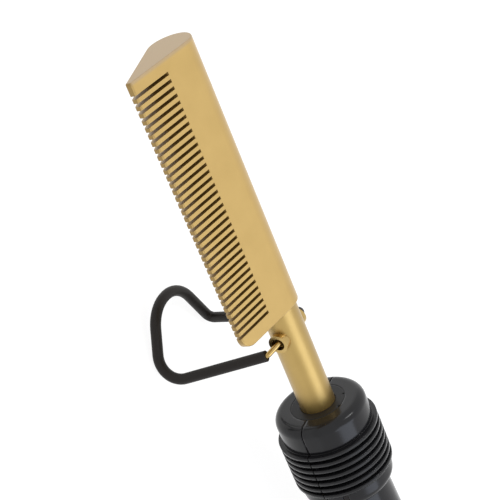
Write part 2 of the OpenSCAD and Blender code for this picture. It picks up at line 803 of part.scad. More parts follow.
// The sliding button, shown in its rearmost place, which is off
module switch_slider() {
    x = switch_rear_x + 0.5;
    top = grip_radius(switch_rear_x + slider_length / 2) + slider_height;
    grooves = 4;
    groove_pitch = 1.8;
    color(black_gloss) at_controls() difference() {
        union() {
            // button and stem
            translate([x, slider_base_top - 0.5, -stem_w / 2])
                cube([slider_length, top - slider_base_top + 0.5, stem_w]);
            // base plate, which covers the slot wherever the button stands
            translate([x - slider_base_over, switch_top + 0.25, -slider_base_w / 2])
                cube([slider_length + 2 * slider_base_over, slider_base_top - switch_top - 0.25,
                      slider_base_w]);
            // foot in the body of the switch
            translate([x + 3, switch_top - 1.6, -1.2]) cube([3, 2, 2.4]);
        }
        for (i = [0 : grooves - 1])
            translate([x + slider_length / 2 + (i - (grooves - 1) / 2) * groove_pitch - 0.4,
                       top - 0.7, -stem_w])
                cube([0.8, overshoot + 0.7, 2 * stem_w]);
    }
}

module switch_leads() {
    spacing = switch_body_length / 5;
    y = switch_floor * cos(control_angle);
    z = switch_floor * sin(control_angle);
    color([0.1, 0.25, 0.6]) for (i = [1 : 3]) {
        x = switch_rear_x + i * spacing;
        lead([
            [x, y - 0.25, z - 0.75],
            [x, y - 0.7, z - 2.4],
            [x + 1, y - 0.9, board_top_z + 2.5],
            [x + 1, y - 0.9, board_top_z + snug]
        ], thin_lead_r, 0.7);
    }
}

// ---------------------------------------------------------------- electrics

module control_board() {
    color(board_green) difference() {
        translate([board_rear_x, -board_half_w, board_z])
            cube([board_length, 2 * board_half_w, board_thickness]);
        for (x = [board_front_x - 3, board_rear_x + 3], side = [-1, 1])
            translate([x, side * (board_half_w - 2.2), board_z - overshoot])
                cylinder(r = 1, h = board_thickness + 2 * overshoot);
    }
}

// A round body with a wire out of each end, lying on the board
module axial_piece(rear_x, y, body_r, body_length, wire_length) {
    translate([rear_x, y, board_top_z + body_r + 0.1]) rotate([0, 90, 0]) {
        cylinder(r = body_r / 4, h = body_length + 2 * wire_length);
        translate([0, 0, wire_length]) cylinder(r = body_r, h = body_length);
    }
}

module thermal_fuse() {
    color([0.75, 0.75, 0.78]) axial_piece(board_front_x - 20.5, 2.2 - board_half_w / 1.16, 1.9, 11, 2.5);
}

module power_diode() {
    color([0.15, 0.15, 0.16]) axial_piece(board_rear_x + 1, -1.5, 1.6, 6, 2);
}

module terminal_block() {
    color([0.9, 0.9, 0.86]) difference() {
        translate([block_rear_x, -block_half_w, -block_h / 2])
            cube([block_length, 2 * block_half_w, block_h]);
        for (side = [-1, 1]) {
            translate([block_rear_x - overshoot, side * lead_lane, 0]) rotate([0, 90, 0])
                cylinder(r = block_hole_r, h = block_length + 2 * overshoot);
            for (x = [block_front_x - block_length / 4, block_rear_x + block_length / 4])
                translate([x, side * lead_lane, 0]) cylinder(r = block_screw_r, h = block_h);
        }
    }
}

// Leads from the board to the terminal block, and from the block to the swivel's contacts
module supply_leads() {
    into = block_length / 4;
    color([0.45, 0.28, 0.14]) for (side = [-1, 1]) {
        lead([
            [board_rear_x + 3, side * lead_lane, lead_rest_z],
            [board_rear_x - 1, side * lead_lane, lead_rest_z],
            [block_front_x + 1, side * lead_lane, 0],
            [block_front_x - into, side * lead_lane, 0]
        ]);
        lead([
            [block_rear_x + into, side * lead_lane, 0],
            [screw_xs[2], side * lead_lane, 0],
            [gland_inner_x + contact_wire + 0.2, side * contact_r, 0]
        ]);
    }
}

// Swivel that the cord goes into: it turns in the rear wall of the handle
module swivel_gland() {
    inner = gland_flange;
    neck = tail_wall + 2 * running;
    color(black_gloss) translate([gland_inner_x, 0, 0]) along_handle() difference() {
        union() {
            cylinder(r = gland_flange_r, h = inner);
            cylinder(r = gland_neck_r, h = inner + neck + 0.5);
            translate([0, 0, inner + neck]) cylinder(r = gland_nose_r, h = 1.6);
            translate([0, 0, inner + neck + 1.6])
                cylinder(r1 = gland_nose_r, r2 = gland_mouth_r, h = nose_length - 1.6 - running);
        }
        translate([0, 0, -overshoot])
            cylinder(r = cord_hole_r, h = inner + neck + nose_length + 2 * overshoot);
    }
}

// Flat contact ring that feeds the leads whichever way the cord turns
module swivel_contacts() {
    color(brass_wire) translate([gland_inner_x + 0.1, 0, 0]) rotate([0, 90, 0])
        difference() {
            cylinder(r = contact_r + 1, h = contact_wire);
            translate([0, 0, -overshoot]) cylinder(r = contact_r - 1, h = contact_wire + 2 * overshoot);
        }
}

stood() comb_head();
stood() heater_cartridge();
stood() heater_end_bead();
stood() heater_leads();
stood() lead_sleeve();
stood() shank_tube();
stood() shank_flange();
stood() front_ring();
stood() pivot_boss_toothed_side();
stood() pivot_boss_spine_side();
stood() bail_wire();
stood() bail_sleeve();
stood() handle_shell_upper();
stood() handle_shell_lower();
stood() shell_screws();
stood() indicator_lens();
stood() indicator_lamp();
stood() lamp_leads();
stood() switch_body();
stood() switch_slider();
stood() switch_leads();
stood() control_board();
stood() thermal_fuse();
stood() power_diode();
stood() terminal_block();
stood() supply_leads();
stood() swivel_gland();
stood() swivel_contacts();
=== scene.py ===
# %% [markdown]
# # An electric pressing comb on its wire stand
#
# A pressing comb is a heated metal comb on a tube, with a moulded handle behind it. A bent
# wire hangs from two small bosses on the tube and holds the hot end clear of the table.
# The solids come from the CAD model. This script dresses them: it sets up the photograph's
# camera, makes the metals and plastics, and models again the pieces whose soft edges or
# smooth bends the eye looks for.

# %% Load the frame
import json
import math

import bmesh
import bpy
from mathutils import Matrix, Vector


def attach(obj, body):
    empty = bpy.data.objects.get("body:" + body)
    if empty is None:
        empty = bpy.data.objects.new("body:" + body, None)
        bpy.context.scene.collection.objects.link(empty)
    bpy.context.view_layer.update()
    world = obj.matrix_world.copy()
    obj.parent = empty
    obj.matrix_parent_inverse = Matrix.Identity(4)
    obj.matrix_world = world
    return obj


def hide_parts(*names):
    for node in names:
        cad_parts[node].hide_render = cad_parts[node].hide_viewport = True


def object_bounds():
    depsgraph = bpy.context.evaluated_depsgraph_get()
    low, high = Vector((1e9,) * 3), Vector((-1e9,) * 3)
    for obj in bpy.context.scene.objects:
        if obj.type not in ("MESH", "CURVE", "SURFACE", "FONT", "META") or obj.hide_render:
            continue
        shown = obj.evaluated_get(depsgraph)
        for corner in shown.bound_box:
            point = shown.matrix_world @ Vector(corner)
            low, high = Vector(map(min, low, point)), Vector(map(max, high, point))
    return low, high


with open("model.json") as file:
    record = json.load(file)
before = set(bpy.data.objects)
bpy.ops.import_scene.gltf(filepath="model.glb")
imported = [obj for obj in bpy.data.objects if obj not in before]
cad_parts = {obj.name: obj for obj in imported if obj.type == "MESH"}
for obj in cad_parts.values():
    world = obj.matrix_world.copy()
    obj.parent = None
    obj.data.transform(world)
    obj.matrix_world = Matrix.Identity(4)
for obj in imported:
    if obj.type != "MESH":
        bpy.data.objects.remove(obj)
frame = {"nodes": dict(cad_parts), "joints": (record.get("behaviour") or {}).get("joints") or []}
nodes = frame["nodes"]
cad_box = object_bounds()
print("CAD nodes:", len(nodes))
print("CAD box:", [tuple(round(v, 4) for v in corner) for corner in cad_box])

# %% [markdown]
# All sizes are in metres, so one name for a millimetre keeps the numbers readable. The comb
# stands tilted on the table. Its own axis runs from the handle to the tip, so a small
# function turns places along and across that axis into places in the scene. The tilt and
# the axis are measured from the frame: the hinge of the stand and the slide of the switch
# say where they lie.

# %% The comb's own axis
MM = 0.001
joints = {joint["name"]: joint for joint in frame["joints"]}
pivot = Vector(joints["stand_swing"]["pos_m"])
along = Vector(joints["switch_slide"]["axis"]).normalized()
across = Vector((0, 1, 0))
upward = along.cross(across)
to_scene = Matrix((along, across, upward)).transposed()
print("tilt of the comb:", round(math.degrees(math.asin(along.z)), 2), "degrees")


def place(x, y, z):
    """A point given in mm from the stand's pivot: along the comb, to the teeth, and up."""
    return pivot + to_scene @ (Vector((x, y, z)) * MM)


# %% [markdown]
# ## Camera
#
# The photograph was taken from the toothed side, from above, with a long lens, so the comb
# looks nearly as it would in a drawing. The camera's place, turn and lens were solved together,
# from the straight edges of the head and the round ones of the tube and the handle.

# %% Camera
CAMERA_PLACE = (0.23562, 0.37790, 0.37226)
CAMERA_TURN = (21.784, -49.362, -141.502)
LENS_MM = 103.59
SENSOR_MM = 36.0

bpy.ops.object.camera_add(
    location=CAMERA_PLACE,
    rotation=[math.radians(angle) for angle in CAMERA_TURN],
)
camera = bpy.context.object
camera.name = "camera"
camera.data.sensor_width = SENSOR_MM
camera.data.lens = LENS_MM
camera.data.clip_start = 0.01
bpy.context.scene.camera = camera
bpy.context.scene.view_settings.view_transform = "Standard"
print("camera", tuple(round(v, 3) for v in camera.location), "lens", LENS_MM)

# %% [markdown]
# ## Helpers
#
# Colours are picked as sRGB hex values, as on a screen, but Blender mixes light in linear
# values, so one function does the change. Another adds a shader node with its settings and
# its links in one call.


# %% Colour and node helpers
def linear(hex_colour):
    """Linear RGBA of an sRGB colour such as "#D8B470"."""
    parts = [int(hex_colour[i:i + 2], 16) / 255 for i in (1, 3, 5)]
    return [p / 12.92 if p <= 0.04045 else ((p + 0.055) / 1.055) ** 2.4 for p in parts] + [1.0]


def add_node(tree, kind, settings=None, inputs=None):
    """Adds a shader node. An input is either a value or the output that it is linked to."""
    new = tree.nodes.new(kind)
    for name, value in (settings or {}).items():
        setattr(new, name, value)
    for name, value in (inputs or {}).items():
        if isinstance(value, bpy.types.NodeSocket):
            tree.links.new(value, new.inputs[name])
        else:
            new.inputs[name].default_value = value
    return new


def new_material(name, **inputs):
    """A material with one Principled shader, whose fixed inputs are given by name."""
    material = bpy.data.materials.new(name)
    material.use_nodes = True
    shader = material.node_tree.nodes["Principled BSDF"]
    for socket, value in inputs.items():
        shader.inputs[socket.replace("_", " ")].default_value = value
    return material, material.node_tree, shader


def shade_range(tree, factor, dark, light):
    """Colours between two hex values, chosen by a factor from 0 to 1."""
    ramp = add_node(tree, "ShaderNodeValToRGB", inputs={"Fac": factor})
    ramp.color_ramp.elements[0].color = linear(dark)
    ramp.color_ramp.elements[1].color = linear(light)
    return ramp.outputs["Color"]


# %% [markdown]
# ## Table, backdrop and light
#
# The comb was shot on white, and the white was then cut clean. So floor and dome are white for
# the camera, and for the metal that mirrors them, while the light that they throw on the comb
# stays at a plain level. The floor still takes a faint shadow.


# %% White for the camera
def backdrop_rays(tree):
    """1 for rays from the camera, and for those that a mirror or a clear part sends on."""
    path = add_node(tree, "ShaderNodeLightPath")
    seen = path.outputs["Is Camera Ray"]
    for kind in ("Is Glossy Ray", "Is Transmission Ray"):
        either = add_node(tree, "ShaderNodeMath", {"operation": "MAXIMUM"},
                          {0: seen, 1: path.outputs[kind]})
        seen = either.outputs[0]
    return seen


# %% Floor
FLOOR_SIZE = 6.0
FLOOR_GLOW = 0.88
FLOOR_DROP = 0.2 * MM


def white_sheet():
    """Matt paper, grey to the lamps and white to the camera."""
    material, tree, shader = new_material("white_paper", Roughness=0.9)
    shader.inputs["Base Color"].default_value = linear("#8A8A8A")
    strength = add_node(tree, "ShaderNodeMath", {"operation": "MULTIPLY"},
                        {0: backdrop_rays(tree), 1: FLOOR_GLOW})
    glow = add_node(tree, "ShaderNodeEmission", inputs={"Strength": strength.outputs[0]})
    both = add_node(tree, "ShaderNodeAddShader",
                    inputs={0: shader.outputs[0], 1: glow.outputs[0]})
    tree.links.new(both.outputs[0], tree.nodes["Material Output"].inputs["Surface"])
    return material


bpy.ops.mesh.primitive_plane_add(size=FLOOR_SIZE, location=(0, 0, -FLOOR_DROP))
floor = bpy.context.object
floor.name = "floor"
floor.data.materials.append(white_sheet())
print("floor:", FLOOR_SIZE, "m wide, glow", FLOOR_GLOW)

# %% [markdown]
# A broad, cool soft box over the handle's end draws the soft light along the satin tube. A slim
# lamp over the tip gives the handle's collar its one sharp highlight. It is kept weak, because
# the flat side of the head mirrors it to anyone who looks from behind.

# %% World and lamps
DOME_LIGHT = 0.66
LAMP_DISTANCE = 2.0
world = bpy.data.worlds.new("pale_dome")
world.use_nodes = True
dome = world.node_tree.nodes["Background"]
dome.inputs["Color"].default_value = linear("#FFFFFF")
dome_strength = add_node(world.node_tree, "ShaderNodeMath", {"operation": "MULTIPLY_ADD"},
                         {0: backdrop_rays(world.node_tree), 1: 1 - DOME_LIGHT, 2: DOME_LIGHT})
world.node_tree.links.new(dome_strength.outputs[0], dome.inputs["Strength"])
bpy.context.scene.world = world


def add_lamp(name, direction, size, power, colour):
    """A soft area lamp, set off from the comb's middle and turned to face it."""
    middle = (cad_box[0] + cad_box[1]) / 2
    towards = Vector(direction).normalized()
    bpy.ops.object.light_add(type="AREA", location=middle + towards * LAMP_DISTANCE)
    lamp = bpy.context.object
    lamp.name = name
    lamp.data.shape = "RECTANGLE"
    lamp.data.size = size[0]
    lamp.data.size_y = size[1]
    lamp.data.energy = power
    lamp.data.color = linear(colour)[:3]
    lamp.rotation_euler = towards.to_track_quat("Z", "Y").to_euler()
    print(name, "watts:", power)


add_lamp("soft_box", (-0.60, 0.25, 0.76), (1.6, 1.0), 9.5, "#E2ECFF")
add_lamp("slim_key", (0.40, -0.14, 0.90), (0.6, 0.1), 4.5, "#FFFFFF")

# %% [markdown]
# ## Metals
#
# The head and its tube are aluminium, blasted to a satin grain and anodised gold. The head's
# gold is a shade lighter than the tube's, as painted light on its broad face. The oxide is
# hard and even, and the fine grain spreads each reflection.


# %% Mixing, and finding the corners
# painted shade darkens a surface that has walls within this many mm
SHADE_REACH = 2.0
SHADE_SAMPLES = 8


def mixed(tree, share, first, second):
    """A colour between two, each a hex value or an output, by a share from 0 to 1."""
    mix = add_node(tree, "ShaderNodeMix", {"data_type": "RGBA"}, {0: share})
    # a Mix node's colours go in at sockets 6 and 7, and come out at socket 2
    for socket, colour in ((6, first), (7, second)):
        if isinstance(colour, str):
            mix.inputs[socket].default_value = linear(colour)
        else:
            tree.links.new(colour, mix.inputs[socket])
    return mix.outputs[2]


def open_share(tree):
    """1 in the open, falling to 0 where walls stand within SHADE_REACH mm."""
    open_sky = add_node(tree, "ShaderNodeAmbientOcclusion", {"samples": SHADE_SAMPLES},
                        {"Distance": SHADE_REACH * MM}).outputs["AO"]
    share = add_node(tree, "ShaderNodeMapRange",
                     inputs={"Value": open_sky, "From Min": 0.2, "From Max": 0.85})
    return share.outputs["Result"]


def last_stretch(tree, where, direction, start_mm, end_mm):
    """0 up to start_mm before the head's farthest point in a direction, and 1 from end_mm."""
    farthest = max(point.co.dot(direction) for point in nodes["comb_head"].data.vertices)
    reach = add_node(tree, "ShaderNodeVectorMath", {"operation": "DOT_PRODUCT"},
                     {0: where, 1: tuple(direction)})
    share = add_node(tree, "ShaderNodeMapRange", inputs={
        "Value": reach.outputs["Value"],
        "From Min": farthest - start_mm * MM, "From Max": farthest - end_mm * MM})
    return share.outputs["Result"]


# %% Satin gold, with its lengths in mm
TIP_END_STRETCH = (1.5, 0.4)
TOOTH_END_SHADE_STRETCH = (1.1, 0.1)
GOLD_CLOUD = 9.0
BLAST_GRAIN = 0.25
BLAST_DEPTH = 0.03


def satin_gold_aluminium(name, dark, light):
    """Gold anodised aluminium, with the two sRGB colours that its tone wanders between."""
    # a thin clear oxide lies over the metal, and its sheen is white
    material, tree, shader = new_material(name, Coat_Weight=0.6, Coat_Roughness=0.35, Coat_IOR=1.6)
    where = add_node(tree, "ShaderNodeTexCoord").outputs["Object"]
    cloud = add_node(tree, "ShaderNodeTexNoise",
                     inputs={"Vector": where, "Scale": 1 / (GOLD_CLOUD * MM)})
    clean = shade_range(tree, cloud.outputs["Fac"], dark, light)
    # the tip's end face is paler; the ends of the teeth are darker, as painted shade
    tip_end = last_stretch(tree, where, along, *TIP_END_STRETCH)
    tooth_end_shade = last_stretch(tree, where, across, *TOOTH_END_SHADE_STRETCH)
    # the tip's end face is coloured paler
    clean = mixed(tree, tip_end, clean, "#BAA27C")
    # painted shade: the ends of the teeth are coloured a darker gold
    clean = mixed(tree, tooth_end_shade, clean, "#9C7F45")
    # painted shade: where walls stand close, in the slots and the corners, the gold is coloured
    # dark brown and made less metallic
    is_open = open_share(tree)
    tree.links.new(mixed(tree, is_open, "#806222", clean), shader.inputs["Base Color"])
    bare = add_node(tree, "ShaderNodeMapRange", inputs={"Value": is_open, "To Min": 0.4})
    tree.links.new(bare.outputs["Result"], shader.inputs["Metallic"])
    # the blasting leaves a fine grain, and the tip's end is rougher
    grain = add_node(tree, "ShaderNodeTexNoise",
                     inputs={"Vector": where, "Scale": 1 / (BLAST_GRAIN * MM)})
    rough = add_node(tree, "ShaderNodeMapRange", inputs={"Value": grain.outputs["Fac"],
                     "To Min": 0.38, "To Max": 0.46})
    rougher = add_node(tree, "ShaderNodeMath", {"operation": "MULTIPLY_ADD"},
                       {0: tip_end, 1: 0.2, 2: rough.outputs["Result"]})
    tree.links.new(rougher.outputs[0], shader.inputs["Roughness"])
    bump = add_node(tree, "ShaderNodeBump", inputs={"Height": grain.outputs["Fac"],
                    "Strength": 0.5, "Distance": BLAST_DEPTH * MM})
    tree.links.new(bump.outputs["Normal"], shader.inputs["Normal"])
    return material


# painted light: the head's gold is a shade lighter than the tube's
head_gold_painted_light = satin_gold_aluminium("satin_gold_head", "#C2A15C", "#CEAD67")
tube_gold = satin_gold_aluminium("satin_gold_tube", "#B09250", "#BD9F5A")
print("gold:", head_gold_painted_light.name, tube_gold.name)

# %% [markdown]
# The stand and its bosses are brass-plated and left bright. The plating has worn a little
# cloudy, and painted shade darkens it where the wire enters a boss and in other close corners.


# %% Bright brass, with the width of its clouds in mm
BRASS_CLOUD = 3.0


def bright_brass():
    """Bright plating, a little cloudy, with painted shade where walls stand close."""
    material, tree, shader = new_material("bright_brass", Metallic=1.0)
    where = add_node(tree, "ShaderNodeTexCoord").outputs["Object"]
    cloud = add_node(tree, "ShaderNodeTexNoise",
                     inputs={"Vector": where, "Scale": 1 / (BRASS_CLOUD * MM)})
    clean = shade_range(tree, cloud.outputs["Fac"], "#B4965A", "#CDB278")
    # painted shade: dark brown where walls stand close, as at the mouth of a boss
    tree.links.new(mixed(tree, open_share(tree), "#5E4A20", clean), shader.inputs["Base Color"])
    rough = add_node(tree, "ShaderNodeMapRange", inputs={"Value": cloud.outputs["Fac"],
                     "To Min": 0.22, "To Max": 0.32})
    tree.links.new(rough.outputs["Result"], shader.inputs["Roughness"])
    return material


brass = bright_brass()
print("brass:", brass.name)

# %% [markdown]
# Screws, the flange and the heater's case are plain bare metal with a fine turned grain.

# %% Bare metal, with the width of its grain in mm
TURNED_GRAIN = 0.6


def bare_metal(name, dark, light, rough_low, rough_high):
    """Bare metal between two sRGB colours, whose roughness varies with the grain."""
    material, tree, shader = new_material(name, Metallic=1.0)
    where = add_node(tree, "ShaderNodeTexCoord").outputs["Object"]
    grain = add_node(tree, "ShaderNodeTexNoise",
                     inputs={"Vector": where, "Scale": 1 / (TURNED_GRAIN * MM)})
    tree.links.new(shade_range(tree, grain.outputs["Fac"], dark, light),
                   shader.inputs["Base Color"])
    rough = add_node(tree, "ShaderNodeMapRange", inputs={"Value": grain.outputs["Fac"],
                     "To Min": rough_low, "To Max": rough_high})
    tree.links.new(rough.outputs["Result"], shader.inputs["Roughness"])
    return material


steel = bare_metal("turned_steel", "#8A8B8E", "#A9AAAD", 0.25, 0.4)
raw_aluminium = bare_metal("drawn_aluminium", "#B4B5B7", "#CBCCCE", 0.3, 0.45)
print("bare metals:", steel.name, raw_aluminium.name)

# %% [markdown]
# ## Plastics
#
# The handle is glossy black ABS from a polished mould. Such plastic is never quite flat: a
# faint ripple, a few millimetres wide, bends its highlights a little. The same recipe, with
# other colours, gloss and ripple, serves the sleeve, the board and the pieces inside.

# %% Moulded plastics, with the radius of their edges in mm
MOULD_EDGE_R = 0.8


def moulded_plastic(name, dark, light, rough_low, rough_high, ripple_mm, depth_mm):
    """A moulded skin between two sRGB colours, with a ripple of a given width and depth."""
    material, tree, shader = new_material(name, Specular_IOR_Level=0.3)
    where = add_node(tree, "ShaderNodeTexCoord").outputs["Object"]
    ripple = add_node(tree, "ShaderNodeTexNoise",
                      inputs={"Vector": where, "Scale": 1 / (ripple_mm * MM)})
    tree.links.new(shade_range(tree, ripple.outputs["Fac"], dark, light),
                   shader.inputs["Base Color"])
    rough = add_node(tree, "ShaderNodeMapRange", inputs={"Value": ripple.outputs["Fac"],
                     "To Min": rough_low, "To Max": rough_high})
    tree.links.new(rough.outputs["Result"], shader.inputs["Roughness"])
    # a mould rounds every edge a little
    soft_edge = add_node(tree, "ShaderNodeBevel", {"samples": SHADE_SAMPLES},
                         {"Radius": MOULD_EDGE_R * MM})
    bump = add_node(tree, "ShaderNodeBump", inputs={"Height": ripple.outputs["Fac"],
                    "Strength": 0.4, "Distance": depth_mm * MM,
                    "Normal": soft_edge.outputs["Normal"]})
    tree.links.new(bump.outputs["Normal"], shader.inputs["Normal"])
    return material


ABS_LOOK = ("#19191B", "#1F1F22", 0.14, 0.2, 4.0, 0.02)
black_abs = moulded_plastic("glossy_black_abs", *ABS_LOOK)
matt_black = moulded_plastic("matt_black_nylon", "#161617", "#202022", 0.4, 0.55, 0.5, 0.01)
silicone_black = moulded_plastic("black_silicone_sleeve", "#16120F", "#211B17",
                                 0.42, 0.58, 0.7, 0.02)
white_ceramic = moulded_plastic("white_steatite", "#E2DED2", "#EFECE3", 0.4, 0.55, 0.8, 0.01)
board_lacquer = moulded_plastic("green_solder_mask", "#0E4A2A", "#136038", 0.25, 0.4, 2.0, 0.01)
smoked_red = moulded_plastic("smoked_red_acrylic", "#0A0505", "#120607", 0.06, 0.12, 3.0, 0.005)
print("plastics:", black_abs.name, matt_black.name, silicone_black.name, smoked_red.name)

# %% [markdown]
# Leads inside the comb are silicone-covered, since it stays soft when hot. They differ in
# colour alone.

# %% Leads
LEAD_SKIN = (0.4, 0.55, 0.8, 0.01)
lead_white = moulded_plastic("white_silicone_lead", "#D8D5CC", "#E8E5DD", *LEAD_SKIN)
lead_red = moulded_plastic("red_silicone_lead", "#9A1B17", "#B3261F", *LEAD_SKIN)
lead_blue = moulded_plastic("blue_silicone_lead", "#1D3E86", "#274C9C", *LEAD_SKIN)
lead_brown = moulded_plastic("brown_silicone_lead", "#5A3418", "#6C4020", *LEAD_SKIN)
print("leads:", lead_white.name, lead_red.name, lead_blue.name, lead_brown.name)

# %% [markdown]
# The real ribs are rounder than those of the solids. Their material adds that round as a
# bump, whose height falls off on both sides of each crest.

# %% Round ribs, in mm along the comb from the stand's pivot
RIB_PITCH = 3.05
RIB_COUNT = 7
FIRST_RIB = -46.45
CREST_SLOPE = 1.15
CREST_HALF_W = 1.05


def rib_height(tree, where):
    """Height in metres that rounds the crest of each rib; 0 away from the ribs."""
    reach = add_node(tree, "ShaderNodeVectorMath", {"operation": "DOT_PRODUCT"},
                     {0: where, 1: tuple(along)}).outputs["Value"]
    first = pivot.dot(along) + FIRST_RIB * MM
    from_first = add_node(tree, "ShaderNodeMath", {"operation": "SUBTRACT"}, {0: reach, 1: first})
    from_crest = add_node(tree, "ShaderNodeMath", {"operation": "WRAP"},
                          {0: from_first.outputs[0], 1: RIB_PITCH / 2 * MM, 2: -RIB_PITCH / 2 * MM})
    squared = add_node(tree, "ShaderNodeMath", {"operation": "MULTIPLY"},
                       {0: from_crest.outputs[0], 1: from_crest.outputs[0]})
    fall = add_node(tree, "ShaderNodeMath", {"operation": "MULTIPLY"},
                    {0: squared.outputs[0], 1: -CREST_SLOPE / (2 * CREST_HALF_W * MM)})
    # the ribs run back from the first one
    among_ribs = add_node(tree, "ShaderNodeMath", {"operation": "COMPARE"},
                          {0: from_first.outputs[0], 1: -(RIB_COUNT - 1) / 2 * RIB_PITCH * MM,
                           2: RIB_COUNT / 2 * RIB_PITCH * MM})
    height = add_node(tree, "ShaderNodeMath", {"operation": "MULTIPLY"},
                      {0: fall.outputs[0], 1: among_ribs.outputs[0]})
    return height.outputs[0]


def round_the_ribs(material):
    """Puts the round of the rib crests between a plastic's soft edges and its ripple."""
    tree = material.node_tree
    ripple_bump = tree.nodes["Bump"]
    soft_edge = tree.nodes["Bevel"]
    where = tree.nodes["Texture Coordinate"].outputs["Object"]
    crest = add_node(tree, "ShaderNodeBump", inputs={
        "Height": rib_height(tree, where), "Distance": 1.0,
        "Normal": soft_edge.outputs["Normal"]})
    tree.links.new(crest.outputs["Normal"], ripple_bump.inputs["Normal"])


ribbed_abs = moulded_plastic("glossy_black_abs_ribbed", *ABS_LOOK)
round_the_ribs(ribbed_abs)
print("ribs:", RIB_COUNT, "at", RIB_PITCH, "mm")

# %% [markdown]
# ## Finishes
#
# Every node gets its material, also those inside, which show once the handle is opened.

# %% Give every node its material
FINISHES = {
    head_gold_painted_light: ["comb_head"],
    tube_gold: ["shank_tube"],
    brass: ["pivot_boss_toothed_side", "pivot_boss_spine_side", "bail_wire", "swivel_contacts"],
    steel: ["shank_flange", "shell_screws"],
    raw_aluminium: ["heater_cartridge", "thermal_fuse"],
    ribbed_abs: ["handle_shell_upper", "handle_shell_lower"],
    black_abs: ["switch_slider", "swivel_gland"],
    matt_black: ["front_ring", "switch_body", "power_diode"],
    silicone_black: ["bail_sleeve"],
    white_ceramic: ["heater_end_bead", "lead_sleeve", "terminal_block"],
    board_lacquer: ["control_board"],
    smoked_red: ["indicator_lens", "indicator_lamp"],
    lead_white: ["heater_leads"],
    lead_red: ["lamp_leads"],
    lead_blue: ["switch_leads"],
    lead_brown: ["supply_leads"],
}
for material, names in FINISHES.items():
    for name in names:
        nodes[name].data.materials.clear()
        nodes[name].data.materials.append(material)
dressed = sum(len(names) for names in FINISHES.values())
print("nodes with a material:", dressed, "of", len(nodes))

# %% [markdown]
# ## Modelling helpers
#
# New pieces are modelled as by hand, with Blender's own operators in edit mode. Faces and
# edges are picked by where they lie, so two small functions do the picking, and one finishes
# a piece: its place goes into its mesh, and it is told which body carries it.


# %% Selecting by place
def in_comb(point):
    """A point of the scene as mm from the stand's pivot: along, across and up."""
    return to_scene.transposed() @ (point - pivot) / MM


def pick(piece, kind, wanted):
    """In edit mode, selects the faces or the edges whose middle passes a test in mm."""
    bpy.ops.mesh.select_mode(type={"edges": "EDGE", "faces": "FACE"}[kind])
    bpy.ops.mesh.select_all(action="DESELECT")
    mesh = bmesh.from_edit_mesh(piece.data)
    for part in getattr(mesh, kind):
        corners = [piece.matrix_world @ point.co for point in part.verts]
        centre = sum(corners, Vector()) / len(corners)
        if wanted(in_comb(centre), part):
            part.select_set(True)
    bmesh.update_edit_mesh(piece.data)


def apply_modifier(piece, kind, **settings):
    """Adds a modifier with its settings and applies it at once."""
    bpy.context.view_layer.objects.active = piece
    modifier = piece.modifiers.new(kind.lower(), kind)
    for name, value in settings.items():
        setattr(modifier, name, value)
    bpy.ops.object.modifier_apply(modifier=modifier.name)


def finish_piece(piece, name, material, body, replaced):
    """Puts the piece's place into its mesh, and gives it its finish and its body."""
    bpy.ops.object.select_all(action="DESELECT")
    piece.select_set(True)
    bpy.context.view_layer.objects.active = piece
    bpy.ops.object.transform_apply(location=True, rotation=True, scale=True)
    piece.name = name
    piece.data.materials.clear()
    piece.data.materials.append(material)
    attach(piece, body)
    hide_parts(*replaced)
    print(name, "faces:", len(piece.data.polygons))


# %% [markdown]
# ## Comb head
#
# The real head is one bar of aluminium, drawn to its section and then sawn into teeth. The
# CAD solid has its sizes, but every edge of it is knife-sharp, and the eye sees the soft
# tumbled edges at the tip and on the teeth. So it is modelled again: a cylinder gives the
# round spine, two of its edges are pulled out into the flat sides, the outline is bevelled,
# and the slots are sawn by a boolean, which leaves sharp edges for a fine second bevel.

# %% Sizes of the head, in mm from the stand's pivot
HEAD_REAR = 11.8
HEAD_FRONT = 120.14
SPINE_R = 8.3
TOOTH_REACH = 29.7
TOOTH_TIP_W = 2.0
SLOT_REACH = 13.6
SLOT_W = 1.2
SLOT_PITCH = 2.69
SLOT_COUNT = 37
FIRST_SLOT = 115.51
REAR_CORNER_R = 5.5
SOCKET_R = 7.05
SOCKET_DEPTH = 12
HEATER_BORE_R = 4.85
TIP_WALL = 8
OUTLINE_BEVEL = 0.5
SLOT_BEVEL = 0.22
# the flat sides leave the spine at this angle from the teeth
LEAVE_DEGREES = 75
# edges are picked by their place to within NEAR, and the bar's long edges by their length
NEAR = 0.05
LONG_EDGE = 50 * MM
section_turn = Matrix((across, upward, along)).transposed().to_euler()
print("head:", round(HEAD_FRONT - HEAD_REAR, 2), "mm long,", SLOT_COUNT, "slots")


